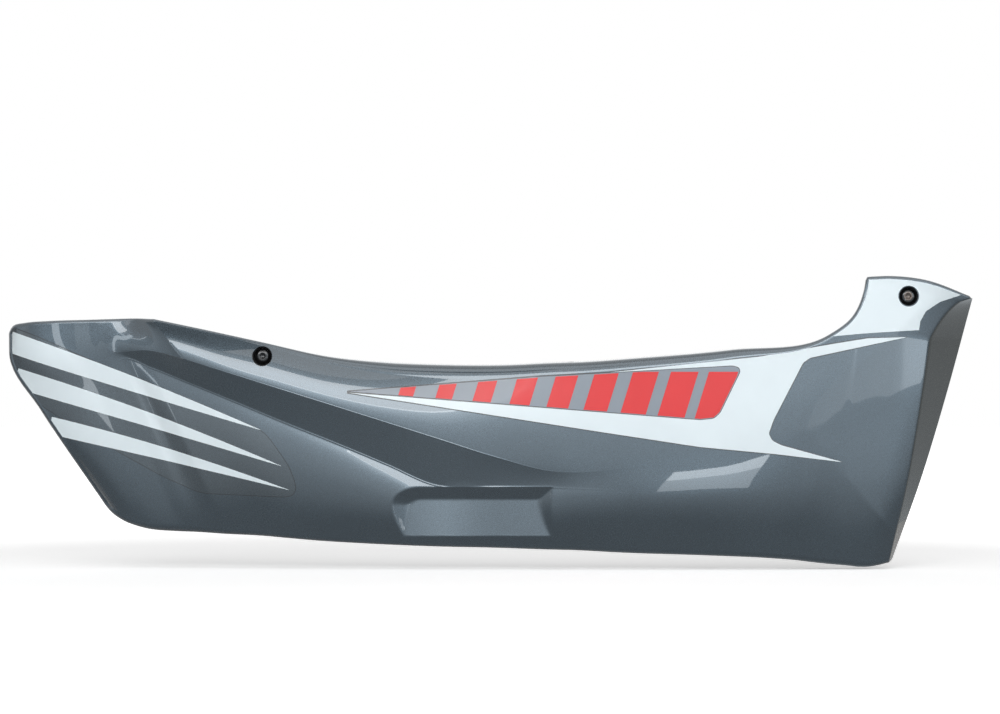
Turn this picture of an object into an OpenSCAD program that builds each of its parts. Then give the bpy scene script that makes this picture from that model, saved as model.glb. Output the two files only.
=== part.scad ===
/* [Shell] */
// Wall thickness of the moulded shell
wall = 2.5; // [2:0.1:2.8]
// Depth of the edge turned inwards along the top
top_edge = 14; // [12:1:20]
// Depth of the edge turned inwards along the bottom
bottom_edge = 26; // [18:1:32]
// Depth of the edge turned inwards at the rear
rear_edge = 9; // [7:1:12]
// Least depth of the edge turned inwards at the front
front_edge = 12; // [10:1:16]
// Depth of the front edge for each millimetre that it leans forward
front_slope = 1.5; // [1:0.1:1.8]
// Visible width of the leaning front edge at its widest
front_lean = 24; // [18:1:26]
// Widening of the shell inwards, in millimetres for each metre of width and millimetre of depth
draft = 0.33; // [0:0.01:0.5]

/* [Pocket] */
// Depth of the pocket in the lower edge, at its upper end
pocket_depth = 6.8; // [5:0.2:10]
// Width of the pocket's rounded upper rear corner
pocket_corner = 24; // [14:1:28]

/* [Wells and screws] */
// Radius of the wells that the screws sit in
well_r = 8; // [7.8:0.1:8.2]
// Depth of a well below the painted face
well_depth = 8; // [6:0.5:9]
// Radius of the screw's threaded end
thread_r = 3; // [2.5:0.1:3.2]
// Length of the threaded end behind the panel
thread_length = 14; // [10:1:18]
// Radius of the screw's shoulder
shoulder_r = 4; // [3.8:0.1:4.2]
// Radius of the screw's domed head
head_r = 6; // [5.5:0.1:6.2]

/* [Films] */
// Thickness of each decal film
film = 0.25; // [0.2:0.05:0.4]
// Number of red bars in the wedge
bars = 9; // [5:1:11]

/* [Back] */
// Thickness of the tongues and fins behind the shell
rib = 2; // [1.6:0.1:2.2]
// Length of the hook tongues that stand in from the bottom edge
tongue_l = 12; // [8:1:16]

/* [Hidden] */
$fn = 48;

// The lines plan. Four guide lines run along the shell from the rear to the front, in a layout frame:
// x from the rear tip, y inwards from the outermost face, z from the lowest point. Every line has a point
// at each station, and the stations join up across the lines into the shell's cross sections.
// Top line: the upper border of the face. Its fourth value is the visible height of the rolled edge.
top_line = [
    [3, 50, 185, 2.5], [5.5, 45, 189.5, 2.5], [13.5, 39, 191.5, 2.5], [33, 32, 193, 2.5],
    [66, 26, 194, 2.5], [82, 23.5, 194.5, 2.5], [101, 20, 195, 2.5], [115, 8, 194.5, 2.5],
    [151, 8, 187, 2.5], [200, 8, 176.3, 2.5], [253, 8, 162, 5.5], [301, 8, 153.7, 9.2],
    [341, 8, 151, 10.3], [389, 7, 151, 10], [436, 6, 153.5, 9.5], [447, 6, 154, 9.3],
    [499, 5, 158, 8.7], [571, 5.2, 165.5, 7.5], [649, 7, 181.5, 3], [669, 8.8, 197.5, 2.5],
    [678.5, 10.6, 219, 2.5], [680, 11.2, 228, 2.5], [699, 12.2, 228.5, 2.5],
    [723, 14, 225.8, 2.5], [761, 18, 213, 1.5]
];
// Brow line: the upper crease of the ledge, which fades out in front of the pocket
brow_line = [
    [4, 49, 165], [8.5, 44, 169.5], [18.5, 37, 172], [38, 30.5, 173.5], [70, 25, 172],
    [87, 22.5, 170.5], [109, 13, 172], [138.5, 2, 165.5], [171.5, 0.5, 155], [211, 0, 142.5],
    [260.5, 0, 127], [301, 0, 114.2], [339.5, 0, 102], [387, 0.5, 87], [433, 1.5, 76],
    [444, 1.7, 75.5], [495, 1.8, 80], [563, 2, 92], [630, 3, 104], [645, 4, 108],
    [656, 5, 111], [667, 6, 114], [686, 7.5, 118], [706, 9, 123], [739.5, 11, 134]
];
// Sill line: the lower crease of the ledge, which runs into the upper rim of the pocket
sill_line = [
    [27, 44, 127.5], [32, 41, 131], [42, 36.5, 134.5], [61, 30.5, 142], [80, 25.5, 156],
    [90, 23.5, 165], [114, 20, 157.5], [144, 16, 145.5], [177, 13, 132], [216.5, 12, 115.5],
    [264, 11.5, 96.5], [299, 11.2, 81.8], [339, 10, 65], [386.5, 6, 64], [431.5, 3.5, 63.5],
    [442.5, 3, 63], [493, 2.5, 61], [561, 3, 61.5], [624, 4.5, 65.5], [637, 5, 67],
    [648, 6, 68.5], [659, 7, 69.5], [678, 8.5, 71], [697, 10, 72], [720.5, 13, 71]
];
// Foot line: the lower border of the face
foot_line = [
    [79, 47, 51], [84, 43, 46], [93, 39, 40.5], [109, 35, 35.5], [136, 31, 33],
    [149, 29, 32.5], [171.5, 26, 31], [200.5, 23, 29.5], [223, 20, 27.5], [246.5, 18, 25.5],
    [280, 16, 23.5], [311, 14, 22], [339, 13, 21], [385, 12, 20], [430.5, 11, 18.5],
    [441, 11, 18.3], [488, 11, 16], [550.5, 11, 14], [606, 12, 11.5], [621.5, 13, 10.3],
    [635, 13.5, 8.7], [646, 14, 7.5], [663.5, 15, 6], [679.5, 17, 4.5], [697.5, 20, 7]
];
last_station = len(top_line) - 1;
// Stations at which a line bends sharply: the rear end of the upper body, and the neck's corner
top_breaks = [7, 21];
brow_breaks = [7];
// How sharp the ledge's two creases are at each station, from 0, smooth, to 1, sharp
sharpness = [0, 0, 0, 0, 0, 0.4, 1, 1, 1, 1, 1, 1, 1, 1, 0.6, 0.5, 0.1, 0, 0, 0, 0, 0, 0, 0, 0];
// Columns of the mesh between each two stations
steps = [1, 1, 2, 2, 2, 3, 3, 3, 3, 4, 4, 8, 4, 4, 2, 4, 4, 5, 3, 3, 2, 3, 3, 5];
// Rows of the mesh: the band between two lines, counted from the foot line, and the place in the band
rows = [
    [0, 0], [0, 0.14], [0, 0.32], [0, 0.52], [0, 0.74], [0, 0.92], [1, 0], [1, 0.5],
    [2, 0], [2, 0.2], [2, 0.4], [2, 0.6], [2, 0.78], [2, 0.91], [2, 1]
];
// The row that follows the foot of the pocket's upper wall, and the stations where it does
pocket_row = 4;
pocket_stations = [11, 15];
// How far each band stands out between its lines: below, on and above the ledge
crowns = [4, -0.5, 1.5];
// Where the front edge starts to bend the columns, and the roundness of the face beside that edge
bend_start = 20;
front_round = 4;

// Place of the pocket: rear, front, lower and upper borders, and the foot of its upper wall
pocket_rear = 303;
pocket_front = 430;
pocket_bottom = 25;
pocket_top = 64;
pocket_foot = 55;
// Widths of its rear, upper and front walls at full depth, and how far its rear border sweeps forward
pocket_rear_w = 14.5;
pocket_top_w = 9;
pocket_front_w = 11;
pocket_sweep = 9;
// The soft chine at the lower front: its two ends, and how much it turns the face
chine_start = [622, 119];
chine_end = [703, 24];
chine_turn = 0.13;
// Height at which the front edge leans furthest
lean_wide = 181;
// Depths of the rolled edge's curve at the bottom and the rear, and lean of those edges
bottom_roll = 5;
bottom_lean = 4;
rear_roll = 4;
rear_lean = 2.5;
// Rings of the turned edge: angle of the roll, and place on the straight slope
roll_angles = [30, 60, 90, 90];
slope_steps = [0.06, 0.3, 0.65, 1];
ring_ends = [0, 0, 0, 1];
// The point that the draft widens from
draft_centre = [389, 167];

// Fixings: the point of the face at the middle of each well, in the layout frame, and the slope of the
// face there, inwards for each millimetre along x and z
rear_fix = [200.5, 6.5, 167.4];
rear_fix_slope = [0, 0.2];
front_fix = [713, 13, 215];
front_fix_slope = [0.08, 0.05];
well_wall = 2;
seat_t = 3;
bore_gap = 0.2;
washer_t = 1.5;
washer_r = 7.4;
collar_t = 0.8;
dome_h = 3.2;
rim_h = 0.9;
socket_r = 2.3;
socket_depth = 2;
tip_chamfer = 0.8;
fin_l = 9;
origin = [front_fix[0], front_fix[1] + well_depth + seat_t, front_fix[2]];

// Stations that carry a hook tongue on the bottom edge and on the top edge, and their sizes
bottom_tongues = [8, 11.5, 14, 17];
top_tongues = [10, 14, 17];
tongue_w = 22;
tongue_root = 5;
tongue_slot = [12, 5];

function lerp(a, b, t) = a + (b - a) * t;
function clamp01(t) = max(0, min(1, t));

// The direction of a line at station i, on its rear (-1) or front (1) side
function ahead(line, i) = (line[i + 1] - line[i]) / norm(line[i + 1] - line[i]);
function line_dir(line, i, side, broken) =
    i == 0 ? ahead(line, 0)
    : i == len(line) - 1 ? ahead(line, i - 1)
    : broken ? ahead(line, side > 0 ? i : i - 1)
    : let (h0 = norm(line[i] - line[i - 1]), h1 = norm(line[i + 1] - line[i]))
      (ahead(line, i - 1) * h1 + ahead(line, i) * h0) / (h0 + h1);

// A cubic between two points, from the directions at its ends
function cubic(p0, p1, d0, d1, t) =
    let (h = norm(p1 - p0), u = 1 - t)
    p0 * (1 + 2 * t) * u * u + p1 * (3 - 2 * t) * t * t + (d0 * u - d1 * t) * h * t * u;

function is_break(breaks, i) = len(search(i, breaks)) > 0;
function line_at(line, s, breaks = []) =
    let (i = min(floor(s), len(line) - 2))
    cubic(line[i], line[i + 1], line_dir(line, i, 1, is_break(breaks, i)),
        line_dir(line, i + 1, -1, is_break(breaks, i + 1)), s - i);

// One cross section: its points on the four lines, from the foot up
function xyz(p) = [p[0], p[1], p[2]];
function section(s) = [
    line_at(foot_line, s), line_at(sill_line, s), line_at(brow_line, s, brow_breaks),
    xyz(line_at(top_line, s, top_breaks))
];
function value_at(list, s) =
    let (i = min(floor(s), len(list) - 2))
    lerp(list[i], list[i + 1], s - i);
function mixed_dir(sec, i, side, k) =
    lerp(line_dir(sec, i, side, false), line_dir(sec, i, side, true), k);
function section_point(sec, row, k) =
    let (b = row[0], t = row[1])
    cubic(sec[b], sec[b + 1], mixed_dir(sec, b, 1, k), mixed_dir(sec, b + 1, -1, k), t)
    - [0, crowns[b] * k * 4 * t * (1 - t), 0];

// Visible width of the leaning front edge at height z: a round upper end and a long taper below
lean_top = top_line[last_station][2];
function lean_at(z) =
    front_lean * z / lean_wide * sqrt(clamp01((lean_top - z) / (lean_top - lean_wide)));

// Depth of the pocket at a point of the face: sloping walls that run down to a tilted floor
function pocket(x, z) =
    let (
        t = (z - pocket_bottom) / (pocket_foot - pocket_bottom),
        r = pocket_corner,
        from_rear = x - pocket_rear - pocket_sweep * pow(clamp01(1 - t), 2),
        from_top = (pocket_top - z) * pocket_rear_w / pocket_top_w,
        cornered = from_rear < r && from_top < r,
        inside = cornered ? r - norm([r - from_rear, r - from_top]) : min(from_rear, from_top),
        wall_part = inside * pocket_depth / pocket_rear_w,
        front_part = (pocket_front - x) * pocket_depth / pocket_front_w,
        floor_part = t * pocket_depth
    )
    max(0, min(wall_part, front_part, floor_part));

// How far the chine turns the face inwards, growing from its start to its end
chine_length = norm(chine_end - chine_start);
chine_dir = (chine_end - chine_start) / chine_length;
function chine(x, z) =
    let (p = [x, z] - chine_start, along = clamp01(p * chine_dir / chine_length))
    chine_turn * along * max(0, cross(chine_dir, p));

// The face: one point at station s on row j, where row j may follow the pocket's upper wall
function pocket_pull(s) =
    clamp01(min(s - pocket_stations[0] + 1, pocket_stations[1] + 1 - s));
function row_at(j, s, sec) =
    j != pocket_row ? rows[j]
    : [0, lerp(rows[j][1], (pocket_foot - sec[0][2]) / (sec[1][2] - sec[0][2]), pocket_pull(s))];
front_section = section(last_station);
function face_point(s, sec, row) =
    let (
        p = section_point(sec, row, value_at(sharpness, s)),
        z_front = section_point(front_section, row, 0)[2],
        pull = pow(clamp01((s - bend_start) / (last_station - bend_start)), 1.3),
        x = p[0] - pull * lean_at(z_front),
        bulge = front_round * pow(clamp01(s - last_station + 1), 2)
    )
    [x, p[1] + pocket(x, p[2]) + chine(x, p[2]) + bulge, p[2]];

stations = concat(
    [for (i = [0:last_station - 1]) for (n = [0:steps[i] - 1]) i + n / steps[i]],
    [last_station]
);
columns = len(stations);
row_count = len(rows);
face = [
    for (s = stations) let (sec = section(s))
        for (j = [0:row_count - 1]) face_point(s, sec, row_at(j, s, sec))
];
function at(i, j) = i * row_count + j;

// The draft: the shell is a little wider the further in it goes
function drafted(p) =
    let (k = 1 + p[1] * draft / 1000, c = draft_centre)
    [c[0] + (p[0] - c[0]) * k, p[1], c[1] + (p[2] - c[1]) * k];

// The border of the face, anticlockwise from the rear of the foot line, seen from outside
border = concat(
    [for (i = [0:columns - 1]) at(i, 0)],
    [for (j = [1:row_count - 1]) at(columns - 1, j)],
    [for (i = [columns - 2:-1:0]) at(i, row_count - 1)],
    [for (j = [row_count - 2:-1:1]) at(0, j)]
);
border_count = len(border);
function on_bottom(n) = n > 0 && n < columns - 1;
function on_front(n) = n >= columns - 1 && n <= columns + row_count - 2;
function on_top(n) = n > columns + row_count - 2 && n < 2 * columns + row_count - 2;
function flat(p) = [p[0], p[2]];
function outward(n) =
    let (
        a = flat(face[border[(n + border_count - 1) % border_count]]),
        b = flat(face[border[(n + 1) % border_count]]),
        d = (b - a) / norm(b - a)
    )
    [d[1], -d[0]];

// How the edge turns at border point n: its lean in the face's plane, its depth, the depth of the roll,
// and 1 where it is a straight slope or 0 where it is a roll
function turn_front(w) = [w + 1, front_edge + front_slope * w, front_edge / 2, 1];
function turn_top(s) =
    let (roll = line_at(top_line, s, top_breaks)[3])
    [roll, top_edge, min(1.3 * roll + 1, top_edge - 1), 0];
rear_turn = [rear_lean, rear_edge, rear_roll, 0];
bottom_turn = [bottom_lean, bottom_edge, bottom_roll, 0];
function turn(n) =
    on_front(n) ? turn_front(lean_at(face[border[n]][2]))
    : on_top(n) ? turn_top(stations[2 * columns + row_count - 3 - n])
    : on_bottom(n) ? lerp(rear_turn, bottom_turn, clamp01(min(n, columns - 1 - n) / 6))
    : rear_turn;
turns = [for (n = [0:border_count - 1]) turn(n)];
ways = [for (n = [0:border_count - 1]) on_front(n) ? [1, 0] : outward(n)];

// Lean and depth of ring r of the turned edge, and the side on which its wall is
function ring(t, r) =
    let (
        rolled = [
            t[0] * sin(roll_angles[r]), lerp(t[2] * (1 - cos(roll_angles[r])), t[1], ring_ends[r])
        ],
        sloped = [t[0], t[1]] * slope_steps[r]
    )
    lerp(rolled, sloped, t[3]);
function ring_normal(t, r) =
    let (
        rolled = [sin(roll_angles[r]) * t[0], -cos(roll_angles[r]) * t[2]],
        sloped = [t[1], -t[0]],
        m = lerp(rolled / norm(rolled), sloped / norm(sloped), t[3])
    )
    m / norm(m);
function ring_point(n, r, inset) =
    let (p = face[border[n]], q = ring(turns[n], r) - ring_normal(turns[n], r) * inset)
    [p[0] + ways[n][0] * q[0], p[1] + q[1], p[2] + ways[n][1] * q[0]];
ring_count = len(roll_angles);
function skirt(inset) = [
    for (r = [0:ring_count - 1]) for (n = [0:border_count - 1]) ring_point(n, r, inset)
];

// Triangles of a strip between two rows of point numbers, of a grid, and of the rings round its border
function strip(low, high, closed, flip) = [
    for (i = [0:len(low) - (closed ? 1 : 2)])
        let (k = (i + 1) % len(low), a = low[i], b = low[k], c = high[k], d = high[i])
        for (f = flip ? [[a, b, c], [a, c, d]] : [[a, c, b], [a, d, c]]) f
];
function grid(count_i, count_j, base, flip) = [
    for (i = [0:count_i - 2])
        for (f = strip(
            [for (j = [0:count_j - 1]) base + i * count_j + j],
            [for (j = [0:count_j - 1]) base + (i + 1) * count_j + j], false, flip
        )) f
];
function ring_ids(r, base) = [
    for (n = [0:border_count - 1]) base + (r < 0 ? border[n] : len(face) + r * border_count + n)
];
function all_rings(base, flip) = [
    for (r = [-1:ring_count - 2]) for (f = strip(ring_ids(r, base), ring_ids(r + 1, base), true, flip)) f
];

// The bare shell: the outer skin, the inner skin one wall behind it, and the rim that joins them
module shell() {
    outer = concat(face, skirt(0));
    inner = concat([for (p = face) p + [0, wall, 0]], skirt(wall));
    half = len(outer);
    polyhedron(
        points = [for (p = concat(outer, inner)) drafted(p)],
        faces = concat(
            grid(columns, row_count, 0, true),
            all_rings(0, true),
            strip(ring_ids(ring_count - 1, 0), ring_ids(ring_count - 1, half), true, true),
            all_rings(half, false),
            grid(columns, row_count, half, false)
        ),
        convexity = 8
    );
}

// A piece of the face, from one column and row to another, as a layer that lies outside the face
function column_of(s) = s == 0 ? 0 : steps[s - 1] + column_of(s - 1);
module layer(s0, s1, j0, j1, low, high) {
    i0 = column_of(s0);
    i1 = column_of(s1);
    patch = [for (i = [i0:i1]) for (j = [j0:j1]) drafted(face[at(i, j)])];
    ni = i1 - i0 + 1;
    nj = j1 - j0 + 1;
    edge = concat(
        [for (i = [0:ni - 1]) i * nj], [for (j = [1:nj - 1]) (ni - 1) * nj + j],
        [for (i = [ni - 2:-1:0]) i * nj + nj - 1], [for (j = [nj - 2:-1:1]) j]
    );
    polyhedron(
        points = concat([for (p = patch) p - [0, high, 0]], [for (p = patch) p - [0, low, 0]]),
        faces = concat(
            grid(ni, nj, 0, true),
            grid(ni, nj, len(patch), false),
            strip(edge, [for (e = edge) e + len(patch)], true, true)
        ),
        convexity = 8
    );
}

// An outline in x and z, cut through the face along y
module through() {
    translate([0, 90, 0]) rotate([90, 0, 0]) linear_extrude(180) children();
}

// One well: its cup, the fins that brace it, and what is cut out of it
module behind_face(at, slope) {
    translate(at + [0, wall / 2, 0])
        multmatrix([[1, 0, 0, 0], [slope[0], 1, slope[1], 0], [0, 0, 1, 0]])
        translate([-30, 0, -30]) cube([60, well_depth + seat_t + 20, 60]);
}
module along_y(at) {
    translate(at) rotate([-90, 0, 0]) children();
}
module well_cup(at, slope, fins) {
    depth = well_depth + seat_t;
    intersection() {
        union() {
            along_y(at - [0, 5, 0]) cylinder(r = well_r + well_wall, h = depth + 5);
            for (a = fins)
                translate(at) rotate([0, a, 0])
                    translate([0, -5, -rib / 2]) cube([well_r + fin_l, depth + 2, rib]);
        }
        behind_face(at, slope);
    }
}
module well_cut(at) {
    along_y(at - [0, 10, 0]) cylinder(r = well_r, h = well_depth + 10);
    along_y(at) cylinder(r = shoulder_r + bore_gap, h = well_depth + seat_t + 1);
}

// A hook tongue that stands in from an edge, with a slot for the clip of the part beside it
module tongue(root, slope, length) {
    translate(root)
        rotate([0, -atan(slope), 0])
        translate([-tongue_w / 2, -tongue_root, 0])
        difference() {
            cube([tongue_w, tongue_root + length, rib]);
            translate([(tongue_w - tongue_slot[0]) / 2, tongue_root + length - tongue_slot[1] - 2.5, -1])
                cube([tongue_slot[0], tongue_slot[1], rib + 2]);
        }
}
function slope_at(line, s) =
    let (a = line_at(line, s - 0.2), b = line_at(line, s + 0.2))
    (b[2] - a[2]) / (b[0] - a[0]);
module tongues() {
    for (s = bottom_tongues) {
        p = line_at(foot_line, s);
        tongue(drafted(p + [0, bottom_edge, 0.25 - bottom_lean]), slope_at(foot_line, s), tongue_l);
    }
    for (s = top_tongues) {
        p = line_at(top_line, s);
        root = [p[0], p[1] + top_edge, p[2] + p[3] - rib - 0.5];
        tongue(drafted(root), slope_at(top_line, s), tongue_l - 2);
    }
}

module panel() {
    color([0.29, 0.33, 0.37])
        difference() {
            union() {
                shell();
                well_cup(rear_fix, rear_fix_slope, [45, 90, 135]);
                well_cup(front_fix, front_fix_slope, [0, 90, 180]);
                tongues();
            }
            well_cut(rear_fix);
            well_cut(front_fix);
        }
}

// A fixing screw, turned in one piece: threaded end, shoulder, rimmed and domed head, hexagon socket
module screw(at) {
    shoulder_l = seat_t + washer_t;
    dome = [for (a = [0:15:90]) [head_r * cos(a), shoulder_l + rim_h + (dome_h - rim_h) * sin(a)]];
    translate(at + [0, well_depth + seat_t, 0])
        rotate([90, 0, 0])
        difference() {
            rotate_extrude() polygon(concat(
                [
                    [0, -thread_length], [thread_r - tip_chamfer, -thread_length],
                    [thread_r, tip_chamfer - thread_length], [thread_r, 0], [shoulder_r, 0],
                    [shoulder_r, shoulder_l], [head_r, shoulder_l]
                ],
                dome
            ));
            translate([0, 0, shoulder_l + dome_h - socket_depth])
                cylinder(r = socket_r, h = socket_depth + 1, $fn = 6);
        }
}

// A washer with a raised collar under the screw's head
module washer(at) {
    translate(at + [0, well_depth, 0])
        rotate([90, 0, 0])
        rotate_extrude() polygon([
            [shoulder_r + bore_gap, 0], [washer_r, 0], [washer_r, collar_t], [washer_r - 0.5, collar_t],
            [head_r + 0.2, washer_t], [shoulder_r + bore_gap, washer_t]
        ]);
}

module front_screw() {
    color([0.13, 0.11, 0.1]) screw(front_fix);
}
module rear_screw() {
    color([0.05, 0.05, 0.05]) screw(rear_fix);
}
module front_washer() {
    color([0.08, 0.08, 0.09]) washer(front_fix);
}
module rear_washer() {
    color([0.05, 0.05, 0.05]) washer(rear_fix);
}

// The clear film at the rear, and three tapered stripes on it
rear_outline = [
    [-6, 192], [20, 183], [73, 160], [150, 130], [202, 108], [222, 80], [228, 62], [223, 55],
    [150, 58], [118, 72], [60, 104], [20, 128], [-20, 160]
];
module stripe_outline(from, to, bow, width) {
    way = (to - from) / norm(to - from);
    side = [-way[1], way[0]];
    upper = [
        for (t = [0:0.1:1])
            lerp(from, to, t) + side * (bow * 4 * t * (1 - t) + width / 2 * (1 - pow(t, 1.7)))
    ];
    lower = [
        for (t = [0.9:-0.1:0])
            lerp(from, to, t) + side * (bow * 4 * t * (1 - t) - width / 2 * (1 - pow(t, 1.7)))
    ];
    polygon(concat(upper, lower));
}
module rear_stripe(from, to, bow, width) {
    color([0.92, 0.96, 0.98])
        intersection() {
            layer(0, 10, 0, 14, film, 2 * film);
            through() intersection() {
                polygon(rear_outline);
                stripe_outline(from, to, bow, width);
            }
        }
}
module rear_film() {
    color([0.35, 0.4, 0.43])
        intersection() {
            layer(0, 10, 0, 14, 0, film);
            through() polygon(rear_outline);
        }
}
module rear_stripe_upper() {
    rear_stripe([-8, 180], [200, 108.5], 1, 17);
}
module rear_stripe_middle() {
    rear_stripe([0, 150], [216, 80], 2, 16);
}
module rear_stripe_lower() {
    rear_stripe([28, 112], [222, 61], 2, 14);
}

// The wedge on the side: a grey film, a white frame on it, and red bars inside the frame
wedge_outline = [
    [268.5, 138.5], [468, 107.5], [547, 95.5], [606, 90], [660, 83.5], [611, 97], [604, 100.5],
    [601, 106], [605, 117], [628.5, 162], [634, 166], [662, 172], [712, 182.5], [680, 181.5],
    [655, 177.5], [594, 167], [475, 154.5], [573, 160], [578, 158.5], [579, 155], [563, 122.5],
    [558, 118], [547, 116.8]
];
field_outline = [
    [268.5, 139.5], [547, 116.8], [558, 118], [563, 122.5], [579, 155], [578, 158.5], [573, 160],
    [475, 154.5], [420, 151.5]
];
film_border = 1.2;
bar_start = [300, 110];
bar_pitch = 30;
bar_slant = 14;
bar_w = 12;
bar_growth = 1.4;
bar_h = 45;
module side_film() {
    color([0.38, 0.42, 0.46])
        intersection() {
            layer(10, 24, 6, 14, 0, film);
            through() offset(r = film_border) {
                polygon(wedge_outline);
                polygon(field_outline);
            }
        }
}
module wedge_decal() {
    color([0.92, 0.96, 0.98])
        intersection() {
            layer(10, 24, 6, 14, film, 2 * film);
            through() polygon(wedge_outline);
        }
}
module bar_decal() {
    color([0.95, 0.2, 0.22])
        intersection() {
            layer(10, 18, 6, 14, film, 2 * film);
            through() intersection() {
                offset(delta = -1) polygon(field_outline);
                for (n = [0:bars - 1])
                    let (w = bar_w + bar_growth * n)
                    translate([bar_start[0] + n * bar_pitch, bar_start[1]])
                        polygon([[0, 0], [w, 0], [w + bar_slant, bar_h], [bar_slant, bar_h]]);
            }
        }
}

// The white film on the neck, cut out round the well
neck_outline = [
    [640, 182], [679, 185.5], [720, 188], [721.5, 188], [722.5, 195], [727, 203], [738.5, 210.5],
    [757, 216.5], [765, 220], [765, 240], [640, 240]
];
module neck_decal() {
    color([0.92, 0.96, 0.98])
        intersection() {
            layer(17, 24, 9, 14, 0, film);
            through() difference() {
                polygon(neck_outline);
                translate([front_fix[0], front_fix[2]]) circle(r = well_r + 0.4);
            }
        }
}

// The layout frame is moved so that the part's origin is on the front screw's axis, at the seat's back
module placed() {
    translate(-origin) children();
}
placed() panel();
placed() front_screw();
placed() front_washer();
placed() rear_screw();
placed() rear_washer();
placed() rear_film();
placed() rear_stripe_upper();
placed() rear_stripe_middle();
placed() rear_stripe_lower();
placed() side_film();
placed() wedge_decal();
placed() bar_decal();
placed() neck_decal();
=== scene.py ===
# %% [markdown]
# # A painted side cover, dressed for its portrait
# The CAD frame holds every piece of this cover at its real size. Here each piece gets the surface
# that the eye sees: a finely modelled painted shell, thin vinyl films that lie on it, and two black
# screws. The frame is loaded first, because everything else is placed by it, and its box is kept
# for later.

# %% Load the frame
import math

import bmesh
import bpy
import numpy as np
from mathutils import Matrix, Vector
from mathutils.bvhtree import BVHTree
from mathutils.geometry import delaunay_2d_cdt


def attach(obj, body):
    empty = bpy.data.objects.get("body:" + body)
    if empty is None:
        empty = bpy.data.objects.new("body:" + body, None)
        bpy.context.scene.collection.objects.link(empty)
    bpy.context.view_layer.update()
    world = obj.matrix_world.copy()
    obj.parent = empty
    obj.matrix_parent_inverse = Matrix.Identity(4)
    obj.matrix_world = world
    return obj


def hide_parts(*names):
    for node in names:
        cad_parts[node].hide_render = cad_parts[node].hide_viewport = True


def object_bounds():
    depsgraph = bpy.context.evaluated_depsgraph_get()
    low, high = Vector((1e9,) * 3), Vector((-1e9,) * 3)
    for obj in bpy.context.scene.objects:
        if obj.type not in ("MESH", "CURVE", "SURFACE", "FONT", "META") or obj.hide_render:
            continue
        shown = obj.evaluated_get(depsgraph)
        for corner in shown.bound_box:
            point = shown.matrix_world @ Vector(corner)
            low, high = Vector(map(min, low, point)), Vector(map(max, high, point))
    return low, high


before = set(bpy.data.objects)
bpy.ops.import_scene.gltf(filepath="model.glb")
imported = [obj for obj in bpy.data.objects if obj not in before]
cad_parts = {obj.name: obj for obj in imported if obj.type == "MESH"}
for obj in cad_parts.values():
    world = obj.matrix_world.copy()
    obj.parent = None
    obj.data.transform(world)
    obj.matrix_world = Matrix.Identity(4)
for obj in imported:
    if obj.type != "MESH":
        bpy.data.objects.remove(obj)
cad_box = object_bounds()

MM = 0.001
print("nodes in the frame:", len(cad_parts))

# %% [markdown]
# ## The layout frame
# The cover was laid out with x from its rear tip, y inwards from its outermost face and z from its
# lowest point, all in millimetres. The frame's own origin is on the front screw, so one offset
# links the two.

# %% Layout frame
FRONT_FIX = np.array([713.0, 13.0, 215.0])
REAR_FIX = np.array([200.5, 6.5, 167.4])
WELL_DEPTH = 8.0
SEAT = 3.0
ORIGIN = FRONT_FIX + [0, WELL_DEPTH + SEAT, 0]
DRAFT = 0.33 / 1000
DRAFT_CENTRE = np.array([389.0, 167.0])


def drafted(points):
    """The mould leaves the shell a little wider the further in it goes."""
    points = np.array(points, float)
    off = points[..., ::2] - DRAFT_CENTRE
    points[..., ::2] = DRAFT_CENTRE + off * (1 + points[..., 1:2] * DRAFT)
    return points


def to_frame(points):
    return (np.asarray(points, float) - ORIGIN) * MM


# %% [markdown]
# ## Four guide lines
# A moulded cover is drawn as a loft: a few guide lines run along it, and every cross section joins
# them. A point cloud would hold the same shape, but nobody could change it. The lines here are the
# construction's own, so the fine mesh lies exactly on the coarse one: the foot and the top border
# the face, and the sill and the brow are the two creases of the ledge.

# %% Guide lines
TOP_LINE = np.array([
    [3, 50, 185, 2.5], [5.5, 45, 189.5, 2.5], [13.5, 39, 191.5, 2.5], [33, 32, 193, 2.5],
    [66, 26, 194, 2.5], [82, 23.5, 194.5, 2.5], [101, 20, 195, 2.5], [115, 8, 194.5, 2.5],
    [151, 8, 187, 2.5], [200, 8, 176.3, 2.5], [253, 8, 162, 5.5], [301, 8, 153.7, 9.2],
    [341, 8, 151, 10.3], [389, 7, 151, 10], [436, 6, 153.5, 9.5], [447, 6, 154, 9.3],
    [499, 5, 158, 8.7], [571, 5.2, 165.5, 7.5], [649, 7, 181.5, 3], [669, 8.8, 197.5, 2.5],
    [678.5, 10.6, 219, 2.5], [680, 11.2, 228, 2.5], [699, 12.2, 228.5, 2.5],
    [723, 14, 225.8, 2.5], [761, 18, 213, 1.5],
])
BROW_LINE = np.array([
    [4, 49, 165], [8.5, 44, 169.5], [18.5, 37, 172], [38, 30.5, 173.5], [70, 25, 172],
    [87, 22.5, 170.5], [109, 13, 172], [138.5, 2, 165.5], [171.5, 0.5, 155], [211, 0, 142.5],
    [260.5, 0, 127], [301, 0, 114.2], [339.5, 0, 102], [387, 0.5, 87], [433, 1.5, 76],
    [444, 1.7, 75.5], [495, 1.8, 80], [563, 2, 92], [630, 3, 104], [645, 4, 108],
    [656, 5, 111], [667, 6, 114], [686, 7.5, 118], [706, 9, 123], [739.5, 11, 134],
])
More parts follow.
